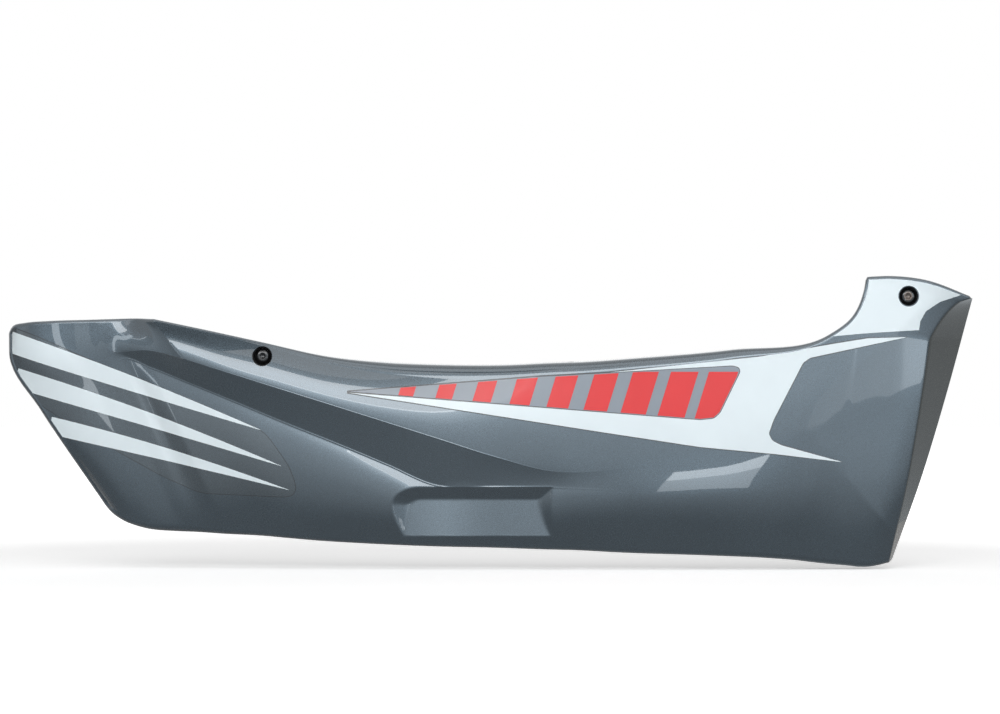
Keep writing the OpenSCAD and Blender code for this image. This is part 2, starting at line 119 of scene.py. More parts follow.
SILL_LINE = np.array([
    [27, 44, 127.5], [32, 41, 131], [42, 36.5, 134.5], [61, 30.5, 142], [80, 25.5, 156],
    [90, 23.5, 165], [114, 20, 157.5], [144, 16, 145.5], [177, 13, 132], [216.5, 12, 115.5],
    [264, 11.5, 96.5], [299, 11.2, 81.8], [339, 10, 65], [386.5, 6, 64], [431.5, 3.5, 63.5],
    [442.5, 3, 63], [493, 2.5, 61], [561, 3, 61.5], [624, 4.5, 65.5], [637, 5, 67],
    [648, 6, 68.5], [659, 7, 69.5], [678, 8.5, 71], [697, 10, 72], [720.5, 13, 71],
])
FOOT_LINE = np.array([
    [79, 47, 51], [84, 43, 46], [93, 39, 40.5], [109, 35, 35.5], [136, 31, 33],
    [149, 29, 32.5], [171.5, 26, 31], [200.5, 23, 29.5], [223, 20, 27.5], [246.5, 18, 25.5],
    [280, 16, 23.5], [311, 14, 22], [339, 13, 21], [385, 12, 20], [430.5, 11, 18.5],
    [441, 11, 18.3], [488, 11, 16], [550.5, 11, 14], [606, 12, 11.5], [621.5, 13, 10.3],
    [635, 13.5, 8.7], [646, 14, 7.5], [663.5, 15, 6], [679.5, 17, 4.5], [697.5, 20, 7],
])
LAST = len(TOP_LINE) - 1
TOP_BREAKS = (7, 21)
BROW_BREAKS = (7,)
SHARPNESS = np.array([0] * 5 + [0.4] + [1] * 8 + [0.6, 0.5, 0.1] + [0] * 8)


def along(steps):
    """Steps scaled to a length of one."""
    return steps / np.linalg.norm(steps, axis=-1, keepdims=True)


def cubic(p0, p1, d0, d1, t):
    """A cubic from p0 to p1 that leaves along d0 and arrives along d1."""
    h = np.linalg.norm(p1 - p0, axis=-1, keepdims=True)
    u = 1 - t
    return p0 * (1 + 2 * t) * u * u + p1 * (3 - 2 * t) * t * t + (d0 * u - d1 * t) * h * t * u


def line_at(line, s, breaks=()):
    """Points of a guide line at stations s. It bends sharply at the stations in breaks."""
    step = np.diff(line, axis=0)
    size = np.linalg.norm(step, axis=1)[:, None]
    step = step / size
    before, after = np.vstack([step[:1], step]), np.vstack([step, step[-1:]])
    h0, h1 = np.vstack([size[:1], size]), np.vstack([size, size[-1:]])
    smooth = (before * h1 + after * h0) / (h0 + h1)
    leaving, arriving = smooth.copy(), smooth.copy()
    for i in breaks:
        leaving[i], arriving[i] = after[i], before[i]
    i = np.minimum(np.floor(s).astype(int), len(line) - 2)
    return cubic(line[i], line[i + 1], leaving[i], arriving[i + 1], (s - i)[:, None])


# %% [markdown]
# ## Where the columns go
# The mesh's columns crowd where the form turns fast: round the pocket, at the ledge's rear end and
# beside the front edge. An even grid would spend most of its faces where the form is plain. There,
# a column every two or three millimetres is enough for a clean reflection.

# %% Columns
COLUMN_STEPS = [
    3, 4, 6, 9, 8, 10, 12, 14, 16, 17, 26, 26, 26, 28, 10, 16, 22, 24, 12, 10, 8, 10, 12, 20,
]
columns = np.concatenate([i + np.arange(n) / n for i, n in enumerate(COLUMN_STEPS)] + [[LAST]])
sharpness = np.interp(columns, np.arange(LAST + 1), SHARPNESS)[:, None, None]
sections = np.stack([
    line_at(FOOT_LINE, columns), line_at(SILL_LINE, columns),
    line_at(BROW_LINE, columns, BROW_BREAKS), line_at(TOP_LINE, columns, TOP_BREAKS)[:, :3],
], axis=1)
print("columns:", len(columns))

# %% [markdown]
# ## Cross sections with rounded creases
# Each section is three cubic bands. Real tooling leaves a radius of a millimetre or two on the
# ledge, and a quadratic curve gives it, with the crease as its middle control point. Lacquer
# gathers there in a fine bead, which catches the light as a thin bright line.

# %% Sections
CROWNS = (4.0, -0.5, 1.5)
CREASE_R = 1.7
BAND_ROWS = (48, 7, 30)
CREASE_ROWS = 11
BEAD, BEAD_WIDTH = 0.22, 0.15
step = np.diff(sections, axis=1)
band_h = np.linalg.norm(step, axis=2)
unit = step / band_h[..., None]
smooth_dir = np.zeros_like(sections)
smooth_dir[:, 0], smooth_dir[:, 3] = unit[:, 0], unit[:, 2]
for g in (1, 2):
    h0, h1 = band_h[:, g - 1, None], band_h[:, g, None]
    smooth_dir[:, g] = (unit[:, g - 1] * h1 + unit[:, g] * h0) / (h0 + h1)


def band_point(b, t):
    """Points of band b at places t, one row of places for each column."""
    k = sharpness
    t = t[..., None]
    d0 = smooth_dir[:, None, b] * (1 - k) + unit[:, None, b] * k
    d1 = smooth_dir[:, None, b + 1] * (1 - k) + unit[:, None, b] * k
    crown = k * 4 * t * (1 - t) * [0, CROWNS[b], 0]
    return cubic(sections[:, None, b], sections[:, None, b + 1], d0, d1, t) - crown


def places(b, count):
    """Places along a band, from one crease's rounding to the next."""
    r = np.minimum(CREASE_R, band_h / 4) / band_h
    low = np.zeros(len(columns)) if b == 0 else r[:, b]
    high = np.ones(len(columns)) if b == 2 else 1 - r[:, b]
    return low[:, None] + (high - low)[:, None] * np.linspace(0, 1, count)


bands = [band_point(b, places(b, n)) for b, n in enumerate(BAND_ROWS)]


def crease(g):
    u = np.linspace(0, 1, CREASE_ROWS)[1:-1][None, :, None]
    a, c, b = bands[g - 1][:, -1:], sections[:, g:g + 1], bands[g][:, :1]
    bead = BEAD * sharpness ** 2 * np.exp(-((u - 0.5) / BEAD_WIDTH) ** 2)
    return a * (1 - u) ** 2 + c * 2 * u * (1 - u) + b * u * u - bead * [0, 1, 0]


face = np.concatenate([bands[0], crease(1), bands[1], crease(2), bands[2]], axis=1)
print("rows:", face.shape[1])

# %% [markdown]
# ## Pocket, chine and front edge
# The pocket is the lower of three sloping walls and a tilted floor, softened where they meet. The
# chine at the lower front turns the face a little. Beside the front edge the columns lean and the
# face rounds off.

# %% Relief of the face
POCKET = dict(
    rear=303.0, front=430.0, bottom=25.0, top=64.0, foot=55.0, depth=6.8, corner=24.0, sweep=9.0)
POCKET_WALLS = dict(rear=14.5, top=9.0, front=11.0)
POCKET_SOFT = 0.5
RIM_BEAD, RIM_WIDTH = 0.16, 1.0
WALL_RISE, FLOOR_RISE = 0.55, 0.23
CHINE_START = np.array([622.0, 119.0])
CHINE_END = np.array([703.0, 24.0])
CHINE_TURN = 0.13
CHINE_SOFT = 0.45
LEAN = 24.0
LEAN_WIDE = 181.0
LEAN_TOP = TOP_LINE[-1, 2]
BEND_START, BEND_POWER = 20, 1.3
FRONT_ROUND = 4.0


def soft_min(a, b, r):
    """The lower of two, with the corner between them rounded over about r."""
    h = np.clip(0.5 + 0.5 * (b - a) / r, 0, 1)
    return b * (1 - h) + a * h - r * h * (1 - h)


def bow():
    """How far each point stands out from a straight line up the pocket's floor."""
    ends = [POCKET["bottom"], POCKET["foot"]]
    found = np.zeros(face.shape[:2])
    for i, (_, y, z) in enumerate(face.transpose(0, 2, 1)):
        low, high = np.interp(ends, z, y)
        found[i] = low + (high - low) * (z - ends[0]) / (ends[1] - ends[0]) - y
    return found


def rim(distance, presence):
    """A fine bead where the distance is zero, as far as the pocket is there."""
    return RIM_BEAD * np.exp(-(distance / RIM_WIDTH) ** 2) * np.clip((presence - 0.5) / 2, 0, 1)


def pocket(x, z, bulge):
    q, walls = POCKET, POCKET_WALLS
    t = (z - q["bottom"]) / (q["foot"] - q["bottom"])
    r = q["corner"]
    from_rear = x - q["rear"] - q["sweep"] * np.clip(1 - t, 0, 1) ** 2
    from_top = (q["top"] - z) * walls["rear"] / walls["top"]
    cornered = (from_rear < r) & (from_top < r)
    straight = np.minimum(from_rear, from_top)
    reach = np.where(cornered, r - np.hypot(r - from_rear, r - from_top), straight)
    wall = reach * q["depth"] / walls["rear"]
    front = (q["front"] - x) * q["depth"] / walls["front"]
    floor = t * q["depth"] + bulge
    wall = soft_min(wall, front, POCKET_SOFT)
    depth = -soft_min(-soft_min(wall, floor, POCKET_SOFT), 0 * wall, POCKET_SOFT)
    foot_bead = rim((wall - floor) / WALL_RISE, floor)
    return depth - foot_bead - rim(wall / WALL_RISE, floor) - rim(floor / FLOOR_RISE, wall)


def chine(x, z):
    length = np.linalg.norm(CHINE_END - CHINE_START)
    way = (CHINE_END - CHINE_START) / length
    px, pz = x - CHINE_START[0], z - CHINE_START[1]
    along = np.clip((px * way[0] + pz * way[1]) / length, 0, 1)
    off = way[0] * pz - way[1] * px
    return CHINE_TURN * along * -soft_min(-off, 0 * off, CHINE_SOFT)


def lean_at(z):
    return LEAN * z / LEAN_WIDE * np.sqrt(np.clip((LEAN_TOP - z) / (LEAN_TOP - LEAN_WIDE), 0, 1))


pull = np.clip((columns - BEND_START) / (LAST - BEND_START), 0, 1) ** BEND_POWER
front_lean = lean_at(face[-1, :, 2])
face[..., 0] -= pull[:, None] * front_lean[None, :]
bulge = FRONT_ROUND * np.clip(columns - LAST + 1, 0, 1) ** 2
x, z = face[..., 0], face[..., 2]
face[..., 1] += pocket(x, z, bow()) + chine(x, z) + bulge[:, None]
print("face depth from %.1f to %.1f mm" % (face[..., 1].min(), face[..., 1].max()))

# %% [markdown]
# ## The turned edges
# All round the face the wall turns inwards: as a roll at the foot, rear and top, and at the front
# as a straight slope that shows as the dark face there. Each border point gets a lean, a depth and
# a roll, and rings of points follow that profile, outside and one wall further in.

# %% Border and rings
WALL = 2.5
EDGE = dict(top=14.0, bottom=26.0, rear=9.0, front=12.0)
FRONT_SLOPE = 1.5
BOTTOM_LEAN, BOTTOM_ROLL = 4.0, 5.0
REAR_LEAN, REAR_ROLL = 2.5, 4.0
FRONT_ROLL = 6.0
REAR_STATIONS, CORNER_STATIONS = 3.0, 1.5
CREASE_EASE = 0.6
ROLL_ANGLES = np.radians([15, 30, 45, 60, 75, 90, 90, 90, 90])
ROLL_ENDS = np.array([0, 0, 0, 0, 0, 0, 0.3, 0.65, 1])
SLOPE_STEPS = np.array([0.03, 0.08, 0.16, 0.28, 0.42, 0.56, 0.7, 0.85, 1])
n_col, n_row = face.shape[:2]
border = np.array(
    [(i, 0) for i in range(n_col)] + [(n_col - 1, j) for j in range(1, n_row)]
    + [(i, n_row - 1) for i in range(n_col - 2, -1, -1)] + [(0, j) for j in range(n_row - 2, 0, -1)]
)
edge_points = face[border[:, 0], border[:, 1]]
is_front = border[:, 0] == n_col - 1
is_top = (border[:, 1] == n_row - 1) & ~is_front
is_bottom = (border[:, 1] == 0) & ~is_front & (border[:, 0] > 0)
turns = np.tile([REAR_LEAN, EDGE["rear"], REAR_ROLL, 0.0], (len(border), 1))
roll = line_at(TOP_LINE, columns[border[is_top, 0]], TOP_BREAKS)[:, 3]
turns[is_top] = np.stack([
    roll, np.full(len(roll), EDGE["top"]), np.minimum(1.3 * roll + 1, EDGE["top"] - 1), 0 * roll
], axis=1)
s = columns[border[is_bottom, 0]]
near = np.clip(np.minimum(s / REAR_STATIONS, (LAST - s) / CORNER_STATIONS), 0, 1)
bottom_turn = np.array([BOTTOM_LEAN, EDGE["bottom"], BOTTOM_ROLL, 0.0])
turns[is_bottom] += (bottom_turn - turns[is_bottom]) * near[:, None]
w = lean_at(edge_points[is_front, 2])
turns[is_front] = np.stack([
    w + 1, EDGE["front"] + FRONT_SLOPE * w, 0 * w + FRONT_ROLL, 0 * w + 1,
], axis=1)
way = along((np.roll(edge_points, -1, axis=0) - np.roll(edge_points, 1, axis=0))[:, ::2])
outward = np.stack([way[:, 1], -way[:, 0]], axis=1)
outward[is_front] = (1, 0)


def ring(r, inset):
    """One ring of the turned edge, drawn in by inset across its profile."""
    lean, depth, curve, slope = turns.T
    a = ROLL_ANGLES[r]
    end = ROLL_ENDS[r]
    sunk = curve * (1 - math.cos(a)) * (1 - end) + depth * end
    rolled = np.stack([lean * math.sin(a), sunk], 1)
    sloped = np.stack([lean, depth], 1) * SLOPE_STEPS[r]
    rolled_n = along(np.stack([lean * math.sin(a), -curve * math.cos(a)], 1))
    sloped_n = along(np.stack([depth, -lean], 1))
    m = slope[:, None]
    q = rolled * (1 - m) + sloped * m - (rolled_n * (1 - m) + sloped_n * m) * inset
    return edge_points + np.stack([outward[:, 0] * q[:, 0], q[:, 1], outward[:, 1] * q[:, 0]], 1)


ring_count = len(ROLL_ANGLES)
outer_rings = [ring(r, 0) for r in range(ring_count)]
inner_rings = [ring(r, WALL) for r in range(ring_count)]
inner_face = face + [0, WALL, 0]
front_rows = border[is_front, 1]
beside = (face[-2, front_rows] + outer_rings[0][is_front]) / 2
face[-1, front_rows] += (beside - face[-1, front_rows]) * CREASE_EASE
print("border points:", len(border))

# %% [markdown]
# ## One closed shell
# The outer skin, the inner skin and the rim between them are stitched into one closed mesh. The
# outer side is listed first, so that it can be painted and the rest stays bare plastic.

# %% Shell mesh


def quads_between(low, high, closed):
    low, high = np.asarray(low), np.asarray(high)
    a, d = (low, high) if closed else (low[:-1], high[:-1])
    b, c = (np.roll(low, -1), np.roll(high, -1)) if closed else (low[1:], high[1:])
    return np.stack([a, b, c, d], axis=1)


def skin_quads(base):
    index = base + np.arange(n_col * n_row).reshape(n_col, n_row)
    grid = np.concatenate([
        quads_between(index[i], index[i + 1], False)[:, [1, 2, 3, 0]] for i in range(n_col - 1)])
    loops = [index[border[:, 0], border[:, 1]]]
    start = base + n_col * n_row
    loops += [start + r * len(border) + np.arange(len(border)) for r in range(ring_count)]
    skirt = np.concatenate([quads_between(a, b, True) for a, b in zip(loops, loops[1:])])
    return grid, skirt, loops[-1]


def as_tuples(faces):
    return [tuple(int(k) for k in f) for f in faces]


def placed(name, data):
    obj = bpy.data.objects.new(name, data)
    bpy.context.scene.collection.objects.link(obj)
    return obj


def mesh_object(name, points, faces, finishes=()):
    mesh = bpy.data.meshes.new(name)
    mesh.from_pydata([tuple(p) for p in to_frame(points)], [], as_tuples(faces))
    mesh.validate()
    for finish in finishes:
        mesh.materials.append(finish)
    return placed(name, mesh)


outer = np.concatenate([face.reshape(-1, 3)] + outer_rings)
inner = np.concatenate([inner_face.reshape(-1, 3)] + inner_rings)
grid_o, skirt_o, last_o = skin_quads(0)
grid_i, skirt_i, last_i = skin_quads(len(outer))
closing = quads_between(last_o, last_i, True)
painted = np.concatenate([grid_o, skirt_o, closing])[:, ::-1]
shell_faces = np.concatenate([painted, grid_i, skirt_i])
panel = mesh_object("painted_panel", drafted(np.concatenate([outer, inner])), shell_faces)
print("shell faces:", len(shell_faces))

# %% [markdown]
# ## Wells for the two screws
# Each screw sits in a round well, so that its head never stands above the paint. The hole could be
# built into the loft's grid, but a boolean keeps the skin's own mesh everywhere else. The cutter
# flares where it meets the face, which gives the hole the small rounded lip of a moulded one.

# %% Revolved forms
SEGMENTS = 72


def revolve(rings, closed=True):
    """Points and faces of rings about the y axis, given as depth y and a radius for each angle."""
    angles = np.linspace(0, 2 * math.pi, SEGMENTS, endpoint=False)
    points = []
    for y, radius in rings:
        r = radius(angles) if callable(radius) else radius
        points.append(np.stack([r * np.cos(angles), 0 * angles + y, r * np.sin(angles)], 1))
    loops = [np.arange(SEGMENTS) + k * SEGMENTS for k in range(len(rings))]
    pairs = list(zip(loops, loops[1:])) + ([(loops[-1], loops[0])] if closed else [])
    faces = [list(f) for a, b in pairs for f in quads_between(a, b, True)]
    if not closed:
        faces += [list(loops[0][::-1]), list(loops[-1])]
    return np.concatenate(points), faces


def as_bmesh(points, faces):
    mesh = bmesh.new()
    verts = [mesh.verts.new(p) for p in points]
    for f in faces:
        mesh.faces.new([verts[k] for k in f])
    bmesh.ops.recalc_face_normals(mesh, faces=mesh.faces[:])
    return mesh


# %% Well cutters
WELL_R = 7.7
WELL_WALL = 2.0
BORE_R = 4.2
LIP = 0.35
LIP_STEPS = np.radians([0, 22.5, 45, 67.5, 90])
# Each fixing's place, and the slope of the face there
FIXINGS = {"rear": (REAR_FIX, (0.0, 0.2)), "front": (FRONT_FIX, (0.08, 0.05))}


lip = [(LIP * (1 - math.cos(a)), WELL_R + LIP * (1 - math.sin(a))) for a in LIP_STEPS]
cutter_rings = [(-4, WELL_R + LIP), (-0.05, WELL_R + LIP)] + lip + [(WELL_DEPTH - 1.5, WELL_R)]


def solid_object(name, points, faces, finishes=()):
    """A closed mesh whose faces all look outwards."""
    mesh = as_bmesh(points, faces)
    faces = [[v.index for v in f.verts] for f in mesh.faces]
    obj = mesh_object(name, [tuple(v.co) for v in mesh.verts], faces, finishes)
    mesh.free()
    return obj


cutters = []
for name, (at, slope) in FIXINGS.items():
    points, faces = revolve(cutter_rings, closed=False)
    points[:, 1] += points[:, ::2] @ slope
    cutters.append(solid_object(name + "_well_cutter", points + at, faces))
print("cutters:", len(cutters))

# %% [markdown]
# ## Paint, film and plastic
# The finishes come before the pieces that use them. Nodes could be added one by one, but a long
# list of them hides the idea. A short class turns arithmetic on sockets into Math nodes instead, so
# that a material reads as a formula. What varies feeds only colour, roughness or the normal, and
# constants sit on the shader itself.

# %% Node helpers


class Signal:
    """A value in a node tree. Arithmetic on it adds Math nodes."""

    def __init__(self, finish, socket):
        self.finish, self.socket = finish, socket

    def math(self, operation, *values):
        return self.finish.node("Math", dict(enumerate(values)), operation=operation)

    def __add__(self, other):
        return self.math("ADD", self, other)

    def __mul__(self, other):
        return self.math("MULTIPLY", self, other)

    __radd__, __rmul__ = __add__, __mul__


# %% A material's nodes


class Finish:
    """The nodes of a material, or of the world, and its main shader."""

    def __init__(self, name, kind="materials", shader="Principled BSDF"):
        self.owner = getattr(bpy.data, kind).new(name)
        self.owner.use_nodes = True
        self.tree = self.owner.node_tree
        self.shader = self.tree.nodes[shader]

    def node(self, kind, values=(), output=0, **settings):
        made = self.tree.nodes.new("ShaderNode" + kind)
        for key, value in settings.items():
            setattr(made, key, value)
        for key, value in dict(values).items():
            self.feed(made.inputs[key], value)
        return Signal(self, made.outputs[output])

    def feed(self, socket, value):
        if isinstance(value, Signal):
            self.tree.links.new(value.socket, socket)
        else:
            socket.default_value = (*value, 1.0) if socket.type == "RGBA" else value

    def place(self):
        return self.node("TexCoord", output="Object")

    def noise(self, scale, detail=2.0):
        return self.node("TexNoise", {"Vector": self.place(), "Scale": scale, "Detail": detail})

    def spread(self, signal, low, high, start=0.3, end=0.7):
        """A signal stretched to run from low to high. Noise mostly lies from 0.3 to 0.7."""
        return self.node("MapRange", {
            "Value": signal, "From Min": start, "From Max": end, "To Min": low, "To Max": high})

    def mix(self, factor, a, b):
        """Two colours through a Mix node."""
        return self.node("Mix", {0: factor, 6: a, 7: b}, 2, data_type="RGBA")

    def bump(self, height, distance, strength):
        return self.node("Bump", {"Height": height, "Distance": distance, "Strength": strength})

    def shade(self, **values):
        for name, value in values.items():
            self.feed(self.shader.inputs[name.replace("_", " ")], value)
        return self.owner

    def glow(self, colour, strength):
        return self.node("Emission", {"Color": colour, "Strength": strength})

    def show(self, shader):
        """Puts another shader in the place of the Principled one."""
        self.feed(self.tree.nodes["Material Output"].inputs["Surface"], shader)
        return self.owner


# %% [markdown]
# ## The metallic paint
# Silver-blue metallic paint is a dark metal seen through clear lacquer, with two reflections: a
# wide one from the flakes and a sharp one from the lacquer. One glossy layer would give only one of
# them. So the base is metallic and middling rough, and the coat on it is almost a mirror, with a
# very slight orange peel.

# %% Paint
FLAKE_SCALE, FLAKE_SHARE, FLAKE_LIGHT = 2600.0, 0.35, 1.6
PEEL_SCALE = 210.0


def paint(name, colour):
    f = Finish(name)
    flake = f.node("TexVoronoi", {"Vector": f.place(), "Scale": FLAKE_SCALE}, "Color")
    glint = f.spread(f.node("SeparateColor", {0: flake}), 0.0, 1.0)
    tone = f.mix(glint * FLAKE_SHARE, colour, [c * FLAKE_LIGHT for c in colour])
    peel = f.bump(f.noise(PEEL_SCALE, 1.0), 0.00002, 0.25)
    return f.shade(
        Base_Color=tone, Metallic=0.82,
        Roughness=f.spread(f.noise(14.0), 0.22, 0.27) + glint * 0.05,
        Normal=peel, Coat_Weight=1.0, Coat_Roughness=0.02, Coat_IOR=1.6,
    )


body_paint = paint("silver_blue_paint", (0.045, 0.062, 0.076))
# The front return is the same paint as the body. Its darker, warmer colour is painted shade, tinted
# like what that face mirrors.
return_painted_shade = paint("return_face_painted_shade", (0.055, 0.057, 0.049))
print("paint nodes:", len(body_paint.node_tree.nodes))

# %% [markdown]
# ## Bare plastic, steel and rubber-black coatings
# Behind the paint the cover is black plastic with a fine spark-eroded grain. The screws have a
# black oxide coating, which looks brown where it has worn, at the middle of the front one.

# %% Bare plastic and hardware
BLACK, GREYED_BLACK = (0.012, 0.012, 0.013), (0.02, 0.02, 0.021)


def bare_plastic():
    f = Finish("bare_black_plastic")
    grain = f.noise(1400.0, 3.0)
    return f.shade(
        Base_Color=f.mix(f.spread(f.noise(30.0), 0, 1), BLACK, GREYED_BLACK),
        Roughness=f.spread(grain, 0.42, 0.58), Normal=f.bump(grain, 0.00004, 0.5),
    )


def hardware(name, dark, worn, roughness):
    f = Finish(name)
    wear = f.spread(f.noise(420.0, 3.0), 0, 1)
    return f.shade(
        Base_Color=f.mix(wear, dark, worn), Metallic=0.6,
        Roughness=f.spread(f.noise(900.0), roughness, roughness + 0.12),
        Normal=f.bump(f.noise(1500.0), 0.00001, 0.3), Coat_Weight=0.8, Coat_Roughness=0.06,
    )


plastic = bare_plastic()
black_screw = hardware("black_oxide", (0.008, 0.008, 0.009), (0.016, 0.016, 0.017), 0.16)
brown_screw = hardware("worn_brown_oxide", (0.05, 0.032, 0.024), (0.11, 0.08, 0.062), 0.3)
washer_black = hardware("washer_black", (0.009, 0.009, 0.01), (0.02, 0.02, 0.022), 0.3)

# %% [markdown]
# ## Vinyl films
# Printed vinyl is a pigment under a clear glossy layer. One function makes them all, with a little
# drift in the pigment and the waviness of a film that is laid by hand.

# %% Vinyl
PIGMENT_DRIFT = 0.04


def vinyl(name, colour, gloss=0.35):
    f = Finish(name)
    shift = f.spread(f.noise(26.0), 0, 1)
    return f.shade(
        Base_Color=f.mix(shift, colour, [c * (1 - PIGMENT_DRIFT) for c in colour]),
        Roughness=f.spread(f.noise(90.0, 3.0), 0.3, 0.38),
        Normal=f.bump(f.noise(55.0, 1.0), 0.00003, 0.3), Coat_Weight=gloss, Coat_Roughness=0.06,
    )


white_vinyl = vinyl("white_vinyl", (0.82, 0.92, 0.965))
grey_vinyl = vinyl("grey_vinyl", (0.24, 0.28, 0.33))
dark_vinyl = vinyl("dark_vinyl", (0.035, 0.04, 0.046))
red_vinyl = vinyl("red_vinyl", (0.78, 0.002, 0.004), gloss=0.12)
clear_vinyl = paint("paint_under_clear_film", (0.05, 0.063, 0.073))
clear_edge = vinyl("clear_film_edge", (0.02, 0.023, 0.026))

# %% [markdown]
# ## Finishing the shell
# The outer faces get the paint, the front return a darker, warmer copy of it as painted shade, and
# the rest the bare plastic. Then the wells are cut with a boolean modifier, and its result is kept
# as a plain mesh.

# %% Cut the wells
shell_finishes = (body_paint, return_painted_shade, plastic)
for finish in shell_finishes:
    for obj in [panel] + cutters:
        obj.data.materials.append(finish)
front_ring = np.tile(np.append(is_front[:-1] & is_front[1:], False), ring_count)
index = np.full(len(shell_faces), 2)
index[:len(painted)] = 0
# Slot 1, the front return's faces, carries the painted shade.
index[len(grid_o):len(grid_o) + len(skirt_o)][front_ring] = 1
panel.data.polygons.foreach_set("material_index", index.astype(np.int32))

for cutter in cutters:
    modifier = panel.modifiers.new("cut", "BOOLEAN")
    modifier.object, modifier.solver, modifier.operation = cutter, "EXACT", "DIFFERENCE"
    evaluated = panel.evaluated_get(bpy.context.evaluated_depsgraph_get())
    mesh = bpy.data.meshes.new_from_object(evaluated)
    panel.modifiers.clear()
    panel.data = mesh
    bpy.data.objects.remove(cutter)
print("panel faces after the cut:", len(panel.data.polygons))

# %% [markdown]
# ## The moulded back
# Behind each well stands a cup with three fins, which takes the screw's load into the skin, and
# slotted hook tongues along the edges hold the cover to its neighbours. They could be fused with
# the shell by booleans. Small plates and tubes that only sink into the skin look the same and keep
# every mesh clean, because nobody sees the inside of the wall.

# %% Soft edges and the moulded back
PLASTIC_SLOT = 2
BOTTOM_TONGUES = (8, 11.5, 14, 17)
TOP_TONGUES = (10, 14, 17)
TONGUE_W = 22.0
TONGUE_ROOT = 5.0
TONGUE_L = 12.0
TONGUE_SLOT = (12.0, 5.0)
TONGUE_BRIDGE, TONGUE_CORNER = 2.5, 2.0
TONGUE_SPAN, TONGUE_GAP = 0.2, 0.25
RIB = 2.0
FIN_L, FIN_TIP = 9.0, 3.0
FIN_ANGLES = {"rear": (45, 90, 135), "front": (0, 90, 180)}
ROUND = 0.35


def walled(mesh, low, high):
    """The side faces between two like loops of points."""
    for i in range(len(low)):
        j = (i + 1) % len(low)
        mesh.faces.new([low[i], low[j], high[j], high[i]])


def softened(mesh, edges):
    bmesh.ops.bevel(mesh, geom=edges, offset=ROUND, segments=2, affect="EDGES", clamp_overlap=True)


def joined(target, pieces):
    """Adds bmesh pieces, in millimetres of the layout frame, as bare plastic."""
    whole = bmesh.new()
    whole.from_mesh(target.data)
    for piece in pieces:
        points = to_frame([tuple(v.co) for v in piece.verts])
        made = [whole.verts.new(p) for p in points]
        piece.verts.index_update()
        for f in piece.faces:
            new = whole.faces.new([made[v.index] for v in f.verts])
            new.material_index = PLASTIC_SLOT
        piece.free()
    whole.to_mesh(target.data)
    whole.free()


# %% Hook tongues


def tongue(line, s, raised, depth, length):
    """A hook tongue with a slot, along a guide line at station s, raised from it, at a depth."""
    before, at, after = line_at(line, s + np.array([-TONGUE_SPAN, 0, TONGUE_SPAN]))[:, :3]
    slope = (after[2] - before[2]) / (after[0] - before[0])
    w, near, far, c = TONGUE_W / 2, -TONGUE_ROOT, length, TONGUE_CORNER
    slot_w, slot_far = TONGUE_SLOT[0] / 2, far - TONGUE_BRIDGE
    slot_near = slot_far - TONGUE_SLOT[1]
    outer = [(-w, near), (w, near), (w, far - c), (w - c, far), (c - w, far), (-w, far - c)]
    slot = [(-slot_w, slot_near), (slot_w, slot_near), (slot_w, slot_far), (-slot_w, slot_far)]
    mesh = bmesh.new()
    rows = []
    for z in (0, RIB):
        rings = [[mesh.verts.new((*p, z)) for p in loop] for loop in (outer, slot)]
        edges = [mesh.edges.new((r[i], r[(i + 1) % len(r)])) for r in rings for i in range(len(r))]
        bmesh.ops.triangle_fill(mesh, edges=edges, use_beauty=True, normal=(0, 0, 1 if z else -1))
        rows.append(rings)
    for low, high in zip(*rows):
        walled(mesh, low, high)
    bmesh.ops.recalc_face_normals(mesh, faces=mesh.faces[:])
    softened(mesh, [e for e in mesh.edges if len(e.link_faces) == 2 and e.calc_face_angle() > 0.5])
    place = Matrix.Translation(drafted(at + [0, depth, raised]))
    turned = Matrix.Rotation(-math.atan(slope), 4, "Y")
    bmesh.ops.transform(mesh, matrix=place @ turned, verts=mesh.verts)
    return mesh


# %% Cups and fins
back_skin = BVHTree.FromPolygons(
    [tuple(p) for p in drafted(inner_face.reshape(-1, 3))], as_tuples(grid_i - len(outer)))
SKIN_BITE = 0.5
TUCK = 0.02
FAR_BEHIND = 120.0


def skin_depth(x, z):
    """Depth of the inner skin at x and z, or of its edge where the skin has ended."""
    hit = back_skin.ray_cast(Vector((x, FAR_BEHIND, z)), Vector((0, -1, 0)))[0]
    return (hit or back_skin.find_nearest(Vector((x, REAR_FIX[1] + WALL, z)))[0]).y


def cup(name):
    """A tube from the skin to the seat of a well, and the seat with its bore."""
    at = FIXINGS[name][0]
    seat, back = at[1] + WELL_DEPTH, at[1] + WELL_DEPTH + SEAT
    inside_r, outside_r = WELL_R - TUCK, WELL_R + WELL_WALL
    rings = [(0, inside_r), (0, outside_r), (back - 0.6, outside_r), (back, outside_r - 0.6),
             (back, BORE_R + 0.4), (back - 0.4, BORE_R), (seat + 0.3, BORE_R), (seat, BORE_R + 0.3),
             (seat, inside_r - 0.4), (seat - 0.4, inside_r)]
    points, faces = revolve(rings)
    points += [at[0], 0, at[2]]
    points[:2 * SEGMENTS, 1] = [skin_depth(x, z) - SKIN_BITE for x, _, z in points[:2 * SEGMENTS]]
    return as_bmesh(points, faces)


